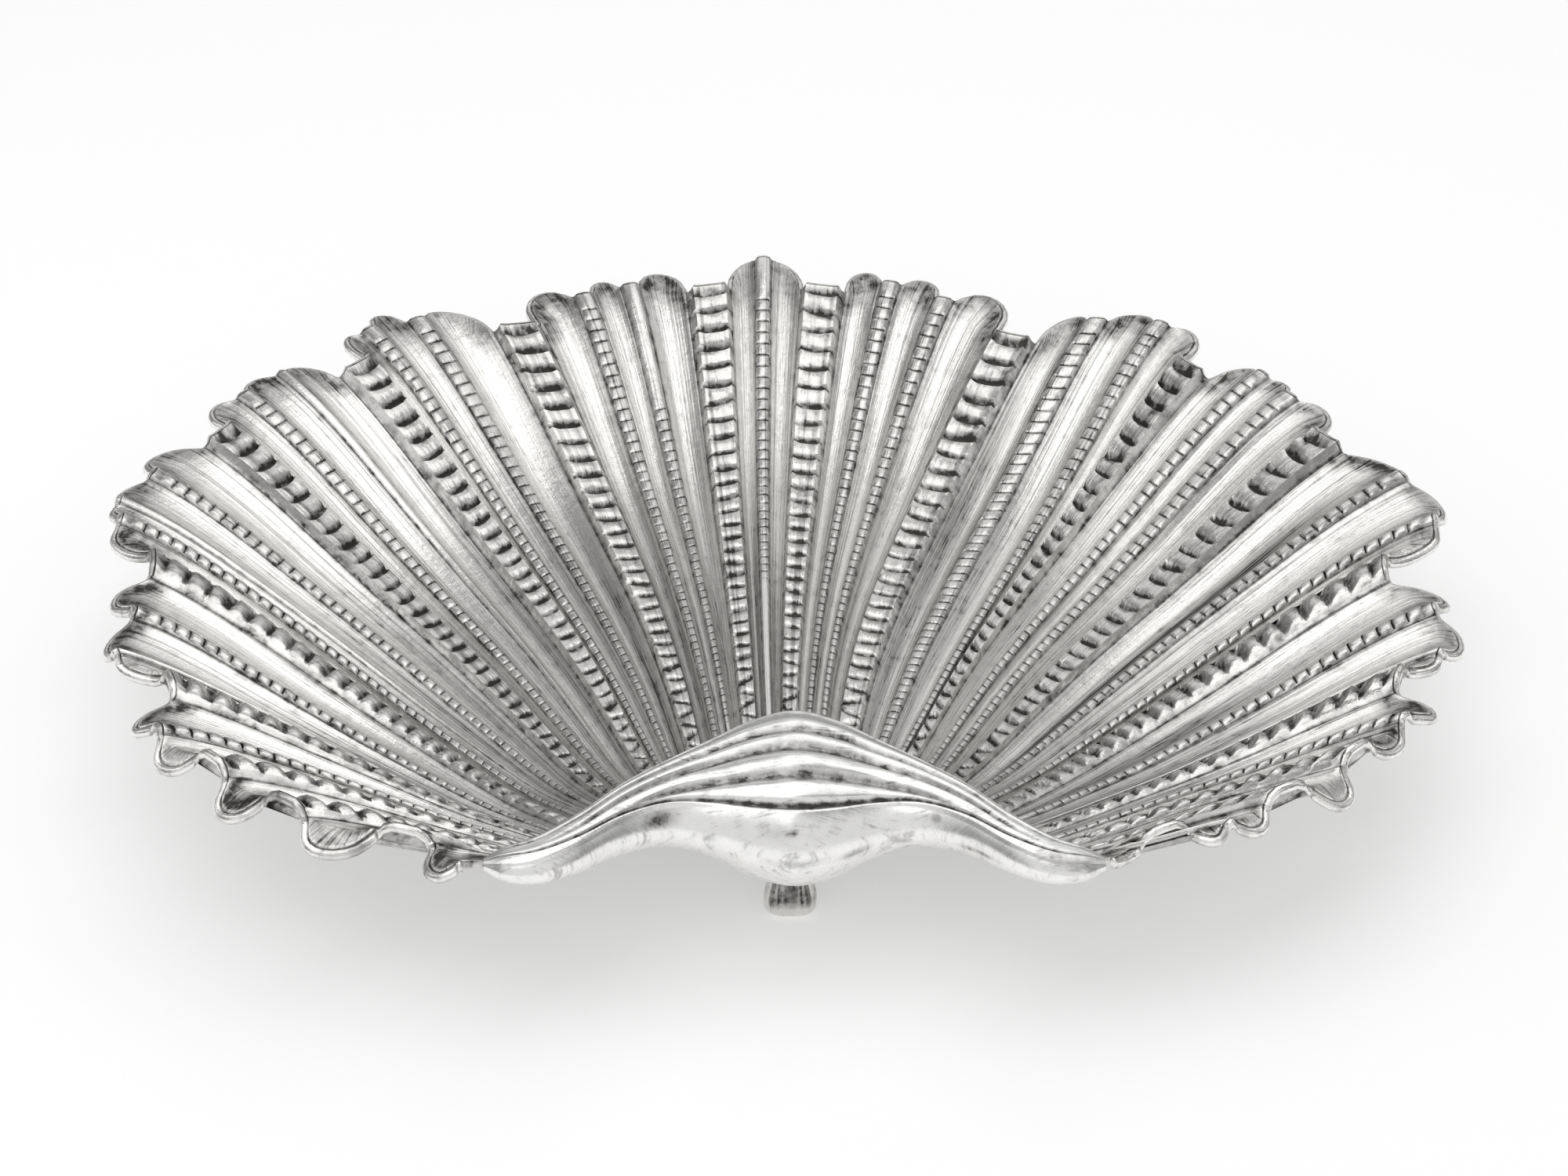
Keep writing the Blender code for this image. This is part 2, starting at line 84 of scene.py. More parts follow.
# How far the rows bow sideways, by rim angle
ROW_BOW = (
    (-180, 0), (-150, 0), (-138, 2), (-123, 6), (-100, 8), (-85, 12), (-60, 13.5), (-45, 13.5),
    (-28, 10), (-8, 1), (5, -3.5), (27, -13), (39, -8.5), (47, -13.5), (66, -15.5), (86, -13.5),
    (98, -8), (110, -4), (122, -1), (135, 0), (150, 0), (180, 0),
)
# A rib's width at the rim, its width at the collar as a share of the way to the nearer rib (half the
# width for a ladder), its height, and where across it its columns lie
RibForm = namedtuple("RibForm", "width share height across")
RIB_FORMS = {
    "ladder": RibForm(12.0, 0.46, 1.6, (-1, -0.92, -0.79, -0.42, 0, 0.42, 0.79, 0.92, 1)),
    "beads": RibForm(4.4, 0.38, 1.4, (-1, -0.86, -0.6, 0, 0.6, 0.86, 1)),
    "thin": RibForm(2.4, 0.2, 0.9, (-1, -0.5, 0, 0.5, 1)),
    "end": RibForm(2.4, 0.2, 0.9, (-1, -0.5, 0, 0.5, 1)),
}
# Depth of a flute, and of its lobe at the rim by rim angle, as shares of the width between the ribs
FLUTE_DEPTH_SHARE = 0.19
LOBE_DEPTH_SHARES = (
    (-180, 0.17), (-140, 0.2), (-128, 0.33), (-119, 0.33), (-112, 0.19), (-80, 0.15), (-60, 0.08),
    (60, 0.08), (80, 0.15), (112, 0.18), (126, 0.33), (134, 0.2), (180, 0.17),
)
# How far the front lobes draw in, half the arc of a lobe's edge, how far it leans to the normal of its
# neck, and how far in each tip is trimmed by rim angle
LOBE_PULL = 1.0
LOBE_SWEEP = 104.0
LOBE_LEAN = 0.5
LOBE_TRIM = (
    (-137, -1), (-127, -2), (-120, -1), (-112, 0), (-106, 7), (-100, 0), (-93, 2.5), (-85, 3),
    (-80, 0), (-62, 0), (-56, -1.5), (-50, 0), (-45, -2), (-40, -3), (-34, 3), (-25, 0),
    (22, -0.5), (30, 0), (36, -1.5), (49, 1), (55, 0), (62, 1.5), (70, 4.5), (78, 0),
    (85, 6.5), (92, 3.5), (100, 0), (106, 9), (111, 0), (118, 3.5), (126, -2), (140, 0), (145, 5),
)
RELIEF_AT_COLLAR = 0.4
RELIEF_START = 9.0
RUNG_HEIGHT = 1.5
RUNG_PITCH_RIM = 7.0
RUNG_PITCH_COLLAR = 4.8
LADDER_MARGIN = 2.5

# Collar, a section lofted along X
COLLAR_X = 2.5
COLLAR_LENGTH = 143.0
COLLAR_STATIONS = (
    # distance, y, z, half depth, half height
    (0, -115, 38, 27, 17),
    (10, -115.5, 38.3, 24, 15.2),
    (20, -118, 40, 18, 11.4),
    (30, -123, 42, 13, 8.6),
    (40, -130.5, 43, 10.8, 7),
    (50, -141, 43.5, 9.2, 5.8),
    (60, -148, 43.5, 6.9, 4.6),
    (68, -149.5, 43.5, 4.3, 3),
    (71.5, -149.5, 43.5, 1.6, 1.4),
)
SEAM_ANGLE = 43.0
SEAM_ANGLE_WING = 82.0
SEAM_BEND = 2.0
SEAT_BEND = 2.0
SEAT_ANGLE = 235.0
SEAT_ANGLE_WING = 203.0
SEAT_GAP = 0.4

# Grooves of the collar: section angle at the middle and at the wing, the distance at which each closes,
# its depth and width, how far it draws in to the seam, and how dark it is
Groove = namedtuple("Groove", "middle wing reach depth width pinch dark")
COLLAR_GROOVES = (
    Groove(SEAM_ANGLE, SEAM_ANGLE_WING, 90, 1.1, 2.2, 0, 1.1),
    Groove(63.7, 84, 42, 1.5, 4.6, 0.9, 0.8),
    Groove(84, 95, 60, 1.7, 4.8, 0.45, 0.8),
    Groove(100, 112, 80, 1.6, 4.4, 0.1, 0.8),
    Groove(119, 128, 90, 0.7, 2.4, 0, 0.7),
    Groove(127, 136, 90, 0.5, 2.2, 0, 0.7),
)
GROOVE_DEPTH_AT_TIP = 0.35
# Marks of wear on the collar: where along X and round the section, half sizes and strength
Mark = namedtuple("Mark", "x angle half_x half_angle strength")
COLLAR_MARKS = (
    Mark(-29, 26, 4, 12, 0.9),
    Mark(3, -1, 8, 1.8, 1.0),
    Mark(16.6, -2, 4, 4, 0.7),
    Mark(2, 24, 1.2, 2.2, 1.0),
    Mark(35.6, 31, 1.4, 8, 0.8),
    Mark(64, 50, 8, 26, 0.5),
    Mark(45, -5, 5, 6, 0.6),
    Mark(-2, 24, 6, 9, 0.25),
)
COLLAR_SWELL = 0.9
COLLAR_SWELL_ENDS = (122, 136)
COLLAR_TARNISH = 0.1
COLLAR_RINGS = 181
COLLAR_SIDES = 200
COLLAR_DENSE_ARC = (38, 140)
COLLAR_DENSE_SHARE = 0.62
COLLAR_INSET = 0.998
COLLAR_TIP_INSET = 0.9995

# Feet
Foot = namedtuple("Foot", "name x y heading")
FEET = (
    Foot("front_foot", 1.5, -109.0, 0.0),
    Foot("rear_left_foot", -84.0, 48.0, 118.0),
    Foot("rear_right_foot", 84.0, 48.0, -118.0),
)
FOOT_PROFILE = (
    # share of the height, half width, half depth
    (0.0, 4.6, 2.6),
    (0.06, 5.9, 3.4),
    (0.2, 6.5, 3.7),
    (0.45, 5.4, 3.2),
    (0.75, 4.6, 2.8),
    (1.0, 4.2, 2.6),
)
FOOT_SIDES = 96
FOOT_RINGS = 36
FOOT_HOLLOW = 1.4
FOOT_HOLLOW_SIDE = (0.72, 0.86)
FOOT_HOLLOW_FOOT = (0.1, 0.18)
FOOT_LINES = 9
FOOT_LINE_HEIGHT = 0.22
FOOT_SQUARENESS = 0.6
FOOT_TARNISH = 0.08

# Rungs and beads: where along each one the mesh has a ring, and their pitch, closer towards the collar
RUNG_PHASES = (0.0, 0.07, 0.14, 0.22, 0.5, 0.78, 0.86, 0.93)
BEAD_PHASES = (0.0, 0.12, 0.3, 0.7, 0.88)
BEAD_PITCH_RIM = 4.3
BEAD_PITCH_COLLAR = 2.8
SLOT_HALF = 0.2
SLOT_REACH = 0.93
SLOT_DEPTH = 1.9
SLOT_SHIFT = 0.12
SLOT_SIZES = (0.7, 1.2)
RUNG_LEAN = 0.1
RUNG_TARNISH = 0.18
RIB_EDGE_TARNISH = 0.6
# Round this rim angle on either side the ladders' rungs begin to slant, as in a twisted rope. Between the
# next two angles, and between the two shares of the way out, the long beads become round pearls
ROPE_ANGLE = 84.0
ROPE_SLANT = 0.5
PEARL_ANGLES = (62, 84)
PEARL_STARTS = (0.2, 0.7)
# Near the collar the rungs lean to the left and right by turns. This zigzag begins to fade at the first
# share of the way out, and is gone at the second
ZIGZAG_LEAN = 0.6
ZIGZAG_ENDS = (0.12, 0.42)
# Rows whose beads stop short: rib index, and the share of the way out at which they start and end
BEAD_SPANS = {22: (0.46, 0.93), 20: (0.2, 0.8)}
PLAIN_BEAD_SPAN = (0.1, 0.985)

# Flutes: columns beside their edges, a raised thread there, and how shallow they run out at the rim
FLUTE_EDGE_SHARES = (0.95, 0.87, 0.78)
NARROW_FLUTE = 6
MEDIUM_FLUTE = 12
FLUTE_SKEW = 0.45
THREAD_HEIGHT = 0.3
RUN_OUT = 0.45

# The rim: a rolled lip round the lobes and notches. The places of its points start at LIP_PLACE, and its
# patina is given by the angle round the roll
LIP_RADIUS = 1.3
LIP_LIFT = 0.9
LIP_PLACE = 10
LIP_LAY = 0.1
LIP_ANGLES = (115, 90, 62, 34, 6, -24, -56, -88)
LIP_PATINA = ((-90, 0, 60, 92, 112), (0.5, 0.1, 0.06, 0.12, 0.95))
LIP_ROLL = 0.7
RIM_ROUNDING = 2.3
RIM_INSET = 0.35
RIM_STEP = 0.25

# Blotched tarnish: it starts inside the lip and fades farther in, both in distance from the rim
BLOTCH_START = (1.6, 3.2)
BLOTCH_REACH = (3.5, 10.0)
BLOTCH_STRENGTH = (0.3, 0.8)

# Painted shade: a dark band down one side of a flute, standing for the dark side of its reflection and partly
# for tarnish. Flutes that are darker than the rest: the rib to their left, how dark, and where along them it
# fades out
Shade = namedtuple("Shade", "strength fade_from fade_to")
SHADES = {
    4: Shade(0.8, 0.3, 0.8),
    6: Shade(0.6, 0.4, 0.9),
    8: Shade(1.0, 0.6, 0.95),
    12: Shade(0.5, 0.3, 0.7),
    17: Shade(0.9, 0.5, 0.8),
    18: Shade(1.0, 0.45, 0.75),
    19: Shade(0.9, 0.4, 0.75),
    20: Shade(0.9, 0.4, 0.7),
    21: Shade(1.0, 0.45, 0.75),
    22: Shade(0.8, 0.35, 0.65),
    24: Shade(0.6, 0.3, 0.7),
    26: Shade(0.8, 0.7, 1.0),
    29: Shade(0.5, 0.5, 0.9),
    32: Shade(1.1, 0.75, 1.0),
    35: Shade(1.0, 0.5, 0.9),
    36: Shade(0.8, 0.5, 0.9),
    38: Shade(0.8, 0.4, 0.9),
}
# Painted shade of every other flute, how wide its band is across the flute, and how far to one side of the
# middle it lies
PLAIN_SHADE = Shade(0.55, 0.4, 0.95)
SHADE_WIDTH = 0.5
SHADE_SIDE = (0.15, 0.5)

# How closely the shell is sampled along its columns
BODY_RINGS = 32
RING_CROWDING = 1.15
LOBE_RINGS = 12
UNDER_RINGS = 16
UNDER_LOBE_RINGS = 5
UNDER_TARNISH = 0.35

# Silver: colours, and the strength of patina, brushed lines and dents, whose heights are in metres
Finish = namedtuple(
    "Finish", "name bright dark roughness patina_gain line_stain line_height streak_height dent_height"
)
CHASED = Finish(
    "chased silver", (0.93, 0.92, 0.9, 1), (0.06, 0.056, 0.052, 1), 0.17, 1.15, 0.42, 0.0002, 0.0001, 0.00018
)
POLISHED = Finish(
    "polished silver", (0.93, 0.925, 0.91, 1), (0.08, 0.075, 0.07, 1), 0.23, 0.9, 0.0, 0.0, 0.00002, 0.00006
)
CAST = Finish(
    "cast silver", (0.8, 0.79, 0.77, 1), (0.07, 0.066, 0.062, 1), 0.3, 1.0, 0.0, 0.0, 0.00006, 0.0002
)
# Brushed streaks and fine lines are noise drawn out along the ribs: across, along, and from strip to strip
STREAK_SCALE = (2.2, 0.09, 37.0)
LINE_SCALE = (1.1, 0.004, 91.0)
BLOTCH_SCALE = 260.0
GRAIN_SCALE = 1500.0
GRAIN_SHARE = 0.12
# What sets the brushing of one piece off from the next, and how wide it takes a rib to be
COLLAR_LAY = 0.3
FOOT_LAY = 0.6
RIB_LAY = 4.0

# Studio, in metres and watts
FLOOR_SIZE = 8.0
FLOOR_LIFT = 0.37
WORLD_LEVEL = 0.24
Lamp = namedtuple("Lamp", "name place aim size power")
LAMPS = (
    Lamp("overhead", (-0.1, 0.1, 1.3), (0, 0, 0), (2.1, 1.3), 9),
    Lamp("left_bank", (-1.3, 0.1, 0.8), (0, 0, 0.03), (0.9, 1.0), 1.7),
    Lamp("right_bank", (1.3, 0.1, 0.8), (0, 0, 0.03), (0.9, 1.0), 1.3),
    Lamp("front_fill", (0, -1.4, 0.9), (0, 0, 0.04), (3.6, 2.0), 12),
    Lamp("back_panel", (0.3, 1.5, 0.95), (0, 0, 0.04), (2.6, 0.8), 3.2),
)
# An 85 mm lens that looks along +Y and down by the photograph's angle
CAMERA_LENS = 85.0
CAMERA_SENSOR = 36.0
CAMERA_DISTANCE = 0.947
CAMERA_ELEVATION = 32.0
CAMERA_TARGET = Vector((0.0, -0.035, 0.047))

# Points in millimetres, faces, and for each point its patina, its painted shade and its lay (across, along,
# strip)
FineMesh = namedtuple("FineMesh", "points faces patina shade lay")


def smooth_curve(points, at):
    """Values of a smooth curve through (place, value) points."""
    places, values = np.array(points, float).T
    at = np.asarray(at, float)
    slopes = np.gradient(values, places)
    i = np.clip(np.searchsorted(places, at, side="right") - 1, 0, len(places) - 2)
    span = places[i + 1] - places[i]
    s = (at - places[i]) / span
    start = (1 + 2 * s) * (1 - s) ** 2 * values[i] + s * (1 - s) ** 2 * span * slopes[i]
    end = s**2 * (3 - 2 * s) * values[i + 1] + s**2 * (s - 1) * span * slopes[i + 1]
    return start + end


def smooth_step(low, high, value):
    s = np.clip((value - low) / (high - low), 0, 1)
    return s * s * (3 - 2 * s)


def length_of(vectors):
    return np.hypot(vectors[..., 0], vectors[..., 1])


def turned(angle):
    """Unit vectors in plan, clockwise from +Y."""
    return np.stack([np.sin(np.radians(angle)), np.cos(np.radians(angle))], -1)


def rim_point(angle, notch=0.0):
    return BOWL_CENTRE + (smooth_curve(RIM_OUTLINE, angle) - notch)[..., None] * turned(angle)


def dish_height(points):
    """Height of the bowl's plain upper face at plan points."""
    reach = points - BOWL_CENTRE
    angle = np.degrees(np.arctan2(reach[..., 0], reach[..., 1]))
    share = np.minimum(length_of(reach) / smooth_curve(RIM_OUTLINE, angle), 1.0)
    rise = (1 - np.cos(np.pi * share**WALL_RISE)) / 2
    return FLOOR_HEIGHT + (RIM_HEIGHT - FLOOR_HEIGHT) * rise


def wing_share(x):
    return np.abs(x - COLLAR_X) / (COLLAR_LENGTH / 2)


def collar_section(x):
    """Centre y and z, half depth and half height of the collar at x."""
    distance = np.abs(x - COLLAR_X)
    found = []
    for column in (1, 2, 3, 4):
        half = [(row[0], row[column]) for row in COLLAR_STATIONS]
        mirrored = [(-place, value) for place, value in reversed(half[1:])]
        found.append(smooth_curve(mirrored + half, distance))
    return found


def collar_seat(x):
    """Where the bowl's upper edge meets the collar's lower back."""
    y, z, depth, height = collar_section(x)
    angle = np.radians(SEAT_ANGLE + (SEAT_ANGLE_WING - SEAT_ANGLE) * wing_share(x) ** SEAT_BEND)
    normal = np.stack([-np.cos(angle) / depth, np.sin(angle) / height])
    normal *= SEAT_GAP / np.hypot(*normal)
    return np.stack([x, y - depth * np.cos(angle) + normal[0], z + height * np.sin(angle) + normal[1]], -1)


def rib_edges(index):
    """The rib's two edges as (along, rim angle), left one first."""
    rib = RIBS[index]
    form = RIB_FORMS[rib.kind]
    near = [abs(RIBS[i].along - rib.along) for i in (index - 1, index + 1) if 0 <= i < len(RIBS)]
    half_along = form.share * min(near) if rib.kind == "ladder" else form.share * min(near) / 2
    radius = smooth_curve(RIM_OUTLINE, rib.angle) - rib.notch
    half_angle = np.degrees(form.width / 2 / radius)
    return [(rib.along + side * half_along, rib.angle + side * half_angle) for side in (-1, 1)]


def lobe_reach(left, right, outermost):
    """From the middle of a lobe's neck to its tip, which leans half way towards the neck's own normal."""
    across = right - left
    normal = np.array([-across[1], across[0]]) / np.hypot(*across)
    straight = outermost - (left + right) / 2
    return (1 - LOBE_LEAN) * straight + LOBE_LEAN * (straight @ normal) * normal


def lobe_points(left, right, u, reach):
    """Points on a lobe's rounded edge, which is wider than the neck between two notches."""
    sweep = np.radians(LOBE_SWEEP)
    out = (np.cos(u * sweep) - np.cos(sweep)) / (1 - np.cos(sweep))
    swing = np.sin(u * sweep) / np.sin(sweep)
    return (left + right) / 2 + np.outer(swing, (right - left) / 2) + np.outer(out, reach)


def spaced(length, pitch_rim, pitch_collar, phases):
    """Rings along a row of rungs or beads, as (share of the length, phase), closer towards the collar."""
    first = LADDER_MARGIN / length
    count = max(2, int(round((length - 2 * LADDER_MARGIN) / ((pitch_rim + pitch_collar) / 2))))
    phase = np.append((np.arange(count)[:, None] + np.array(phases)[None, :]).ravel(), count)
    steps = phase / count
    widening = (pitch_rim - pitch_collar) / (pitch_rim + pitch_collar)
    steps = steps * (1 - widening) + widening * steps**2
    rings = np.concatenate([[0.0], first + (1 - 2 * first) * steps, [1.0]])
    return rings, np.concatenate([[-0.5], phase, [count + 0.5]])


class Strip:
    """A rib, or the flute to the right of one: its kind, and the index of that rib."""

    def __init__(self, kind, index):
        self.kind = kind
        self.index = index
        self.seed = rng.random()


class Column:
    """A line on the bowl from the collar out to the rim, at the share u across its strip."""

    def __init__(self, strip, u, along, end):
        self.strip = strip
        self.u = u
        self.seat = collar_seat(np.array(along))
        self.outline = end

    def body(self, rings):
        """Plan points from the collar to the rim, or to the neck of a lobe, bowed sideways."""
        end = self.neck if self.strip.kind == "flute" else self.inner
        chord = end - self.seat[:2]
        side = np.array([chord[1], -chord[0]]) / np.hypot(*chord)
        reach = end - BOWL_CENTRE
        bow = smooth_curve(ROW_BOW, np.degrees(np.arctan2(reach[0], reach[1])))
        return self.seat[:2] + np.outer(rings, chord) + np.outer(4 * rings * (1 - rings) * bow, side)


def flute_shares(neck):
    """Shares across a flute between its edges, with a thin line beside each edge of a wide one."""
    if neck < NARROW_FLUTE:
        return np.array([-0.8, -0.4, 0.0, 0.4, 0.8])
    inner = np.linspace(-1, 1, 7 if neck < MEDIUM_FLUTE else 9)[1:-1] * 0.72
    return np.concatenate([-np.array(FLUTE_EDGE_SHARES), inner, FLUTE_EDGE_SHARES[::-1]])


def make_rib(index):
    """A rib's strip, and its columns from left to right."""
    rib = RIBS[index]
    strip = Strip(rib.kind, index)
    (along_left, angle_left), (along_right, angle_right) = rib_edges(index)
    shares = np.array(RIB_FORMS[rib.kind].across, float)
    mix = (shares + 1) / 2
    alongs = along_left + mix * (along_right - along_left)
    ends = rim_point(angle_left + mix * (angle_right - angle_left), rib.notch)
    return strip, [Column(strip, u, along, end) for u, along, end in zip(shares, alongs, ends)]


def make_flute(index):
    """The flute to the right of a rib, with its lobe at the rim: its strip, and its columns."""
    flute = Strip("flute", index)
    along, angle = rib_edges(index)[1]
    next_along, next_angle = rib_edges(index + 1)[0]
    left = rim_point(np.array(angle), RIBS[index].notch)
    right = rim_point(np.array(next_angle), RIBS[index + 1].notch)
    middle = (angle + next_angle) / 2
    flute.neck = np.hypot(*(right - left))
    flute.lip_share = np.interp(middle, *np.array(LOBE_DEPTH_SHARES).T)
    flute.skew = rng.uniform(-FLUTE_SKEW, FLUTE_SKEW)
    # The side of the flute on which its painted shade lies
    flute.shade_side = rng.choice((-1, 1)) * rng.uniform(*SHADE_SIDE)
    flute.blotch = rng.uniform(*BLOTCH_STRENGTH)
    pull = LOBE_PULL * flute.lip_share * flute.neck * max(0.0, -np.cos(np.radians(middle)))
    pull += np.interp(middle, *np.array(LOBE_TRIM).T)
    reach = lobe_reach(left, right, rim_point(np.array(middle), pull))
    shares = flute_shares(flute.neck)
    alongs = along + (shares + 1) / 2 * (next_along - along)
    tips = lobe_points(left, right, shares, reach)
    return flute, [Column(flute, u, start, tip) for u, start, tip in zip(shares, alongs, tips)]


def make_strips():
    """Every strip from the left wing to the right one, each with its columns."""
    made = []
    for index in range(len(RIBS)):
        made.append(make_rib(index))
        if index < len(RIBS) - 1:
            made.append(make_flute(index))
    return zip(*made)


def settle_rim(columns):
    """Rounds the rim's outline, and finds its outward normals and the line where the lip begins."""
    corners = np.array([column.outline for column in columns])
    run = np.concatenate([[0], np.cumsum(length_of(np.diff(corners, axis=0)))])
    even = np.arange(0, run[-1], RIM_STEP)
    points = np.stack([np.interp(even, run, corners[:, axis]) for axis in (0, 1)], -1)
    weight = np.exp(-(((even[None, :] - run[:, None]) / RIM_ROUNDING) ** 2) / 2)
    line = weight @ points / weight.sum(axis=1)[:, None]
    tangent = np.gradient(line, axis=0)
    tangent /= length_of(tangent)[:, None]
    normal = np.stack([-tangent[:, 1], tangent[:, 0]], -1)
    outward = np.sign(np.sum(normal * (line - BOWL_CENTRE), axis=1))
    normal *= np.sign(outward.sum())
    for _ in range(2):
        normal[1:-1] = 0.5 * normal[1:-1] + 0.25 * (normal[:-2] + normal[2:])
        normal /= length_of(normal)[:, None]
    inset = LIP_RADIUS * (1 + np.cos(np.radians(180 - LIP_ANGLES[0])))
    for column, point, way in zip(columns, line - RIM_INSET * normal, normal):
        column.outline = point
        column.normal = way
        column.inner = point - way * (inset + 0.1)


def base(seat, points):
    """Height of the bowl before its relief, and how strong the relief is, at plan points of one column."""
    away = length_of(points - seat[:2])
    front = (seat[2] - dish_height(seat[:2])) * np.exp(-((away / FRONT_BLEND) ** 2))
    return dish_height(points) + front, 1 - np.exp(-((away / RELIEF_START) ** 2))


def ladder_relief(u, t, phase, strip):
    """Height and patina of a ladder: flat rungs between lens-shaped dark slots, rounder at the sides."""
    angle = RIBS[strip.index].angle
    nearest = np.round(phase).astype(int)
    numbered = np.clip(nearest, 0, len(strip.lean) - 1)
    size = strip.size[numbered]
    rope = smooth_step(ROPE_ANGLE - 12, ROPE_ANGLE + 6, abs(angle))
    zigzag = ZIGZAG_LEAN * (1 - smooth_step(*ZIGZAG_ENDS, t)) * np.where(nearest % 2, 1, -1)
    lean = strip.lean[numbered] - ROPE_SLANT * rope * np.sign(angle) + zigzag
    away = phase + lean * u * 0.5 - nearest
    reach = (u - strip.offset) / (SLOT_REACH - abs(strip.offset))
    lens = np.clip(1 - reach**2, 0, 1)
    half = SLOT_HALF * (1 + 0.1 * rope) * size * np.sqrt(lens) + 0.001
    slot = np.clip(1 - (away / half) ** 2, 0, 1) ** 0.7
    shoulder = 0.3 * np.exp(-((away / (0.28 + 0.05 * rope)) ** 2)) * lens
    shown = (phase > -0.2) & (t < 0.999)
    plateau = smooth_step(0, 0.2 + 0.15 * rope, 1 - np.abs(u))
    off_middle = np.abs(phase - np.floor(phase) - 0.5) * 2
    pillow = (1 - (0.1 + 0.4 * rope) * off_middle**2) * (1 - (0.16 + 0.2 * rope) * u * u)
    rung = RUNG_HEIGHT * np.interp(t, (0, 0.1, 1), (0, 0.6, 1))
    height = plateau * (RIB_FORMS["ladder"].height + rung * pillow)
    height = height - shown * np.maximum(slot, shoulder) * SLOT_DEPTH * size
    edge = np.exp(-(((1 - np.abs(u)) / 0.1) ** 2)) * (0.5 + 0.4 * np.sin(phase * 2.3 + 9 * strip.seed))
    patina = np.maximum((1 - 0.25 * rope) * shown * slot**0.6, edge)
    return height, np.maximum(patina, RUNG_TARNISH)


def bead_relief(u, t, phase, strip):
    """Height and patina of a bead row, which runs smooth where its beads leave off."""
    shown = smooth_step(strip.span[0] - 0.02, strip.span[0] + 0.02, t)
    shown = shown * (1 - smooth_step(strip.span[1] - 0.01, strip.span[1] + 0.01, t))
    along = (phase - np.floor(phase)) * 2 - 1
    pad = np.clip(1 - np.abs(u) ** 3.2 - np.abs(along) ** 4, 0, 1) ** 0.5
    ridge = np.sqrt(np.clip(1 - u * u, 0, 1))
    pearl = smooth_step(*PEARL_ANGLES, abs(RIBS[strip.index].angle)) * smooth_step(*PEARL_STARTS, t)
    beads = (0.7 - 0.25 * pearl) * ridge + (0.32 + 0.5 * pearl) * pad
    height = RIB_FORMS["beads"].height * ((1 - shown) * ridge + shown * beads)
    groove = shown * np.clip((np.abs(along) - 0.72) / 0.28, 0, 1)
    patina = np.maximum(0.95 * groove, 0.6 * np.exp(-(((1 - np.abs(u)) / 0.16) ** 2)))
    return height, np.maximum(patina, RUNG_TARNISH * shown)


def plain_relief(u, t, phase, strip):
    """Height and patina of a thin plain rib."""
    return RIB_FORMS["thin"].height * (1 - u * u), 0.5 * np.exp(-(((1 - np.abs(u)) / 0.3) ** 2))


RELIEFS = {"ladder": ladder_relief, "beads": bead_relief, "thin": plain_relief, "end": plain_relief}


def prepare_rows(strips, rows):
    """Rings and random variation of each strip, before its columns are drawn."""
    for strip, row in zip(strips, rows):
        if strip.kind == "flute":
            continue
        middle = row[len(row) // 2]
        length = np.hypot(*(middle.inner - middle.seat[:2]))
        if strip.kind == "ladder":
            strip.rings, strip.phases = spaced(length, RUNG_PITCH_RIM, RUNG_PITCH_COLLAR, RUNG_PHASES)
        elif strip.kind == "beads":
            strip.rings, strip.phases = spaced(length, BEAD_PITCH_RIM, BEAD_PITCH_COLLAR, BEAD_PHASES)
        else:
            strip.rings = np.linspace(0, 1, BODY_RINGS)
            strip.phases = np.zeros(BODY_RINGS)
        count = int(strip.phases[-1]) + 2
        strip.lean = rng.normal(0, RUNG_LEAN, count)
        strip.size = rng.uniform(*SLOT_SIZES, count)
        strip.offset = SLOT_SHIFT * np.interp(RIBS[strip.index].angle, (-60, -25, 25, 60), (1, 0, 0, -1))
        strip.span = BEAD_SPANS.get(strip.index, PLAIN_BEAD_SPAN)


def blotch_share(body, rim_line):
    """1 just inside the rolled lip, 0 on it and farther in than the blotched tarnish reaches."""
    apart = length_of(body[:, None] - rim_line[None]).min(axis=1)
    return (1 - smooth_step(*BLOTCH_REACH, apart)) * smooth_step(*BLOTCH_START, apart)


def flute_relief(column, places, t, body, rim_line):
    """Height, patina and painted shade of a flute: a hollow that opens into a lobe, rolled down at its edge.
    """
    strip = column.strip
    u = column.u
    depth = -FLUTE_DEPTH_SHARE * strip.neck * (1 - abs(u) ** 2.3) * (1 + strip.skew * u)
    depth = depth * (1 - RUN_OUT * smooth_step(0.68, 1, t))
    if strip.neck >= NARROW_FLUTE:
        depth += THREAD_HEIGHT * np.exp(-(((abs(u) - FLUTE_EDGE_SHARES[1]) / 0.05) ** 2))
    lobe = -strip.lip_share * strip.neck * (1 - u * u)
    out = np.clip(places - 1, 0, 1)
    height = depth + (lobe - depth) * smooth_step(-0.1, 0.8, places - 1)
    height = height - LIP_ROLL * smooth_step(0.72, 1, out) ** 2
    beside = np.exp(-(((1 - abs(u)) / 0.12) ** 2))
    patina = np.maximum(0.55 * beside, strip.blotch * blotch_share(body, rim_line))
    # Painted shade: a dark band down one side of the flute, for the dark side of its reflection and partly
    # for tarnish, darkest near the collar and fading out towards the rim
    form = SHADES.get(strip.index, PLAIN_SHADE)
    fading = 1 - smooth_step(form.fade_from, form.fade_to, t)
    shade = form.strength * fading * np.exp(-(((u - strip.shade_side) / SHADE_WIDTH) ** 2))
    return height, patina, shade


def draw_lip(column, edge_height):
    """A column's points round the rolled lip, from its inside over its top to below."""
    turn = np.radians(LIP_ANGLES)
    middle = column.outline - column.normal * LIP_RADIUS
    ring = middle + np.outer(np.cos(turn) * LIP_RADIUS, column.normal)
    return np.column_stack([ring, edge_height - LIP_RADIUS * LIP_LIFT + LIP_RADIUS * np.sin(turn)])


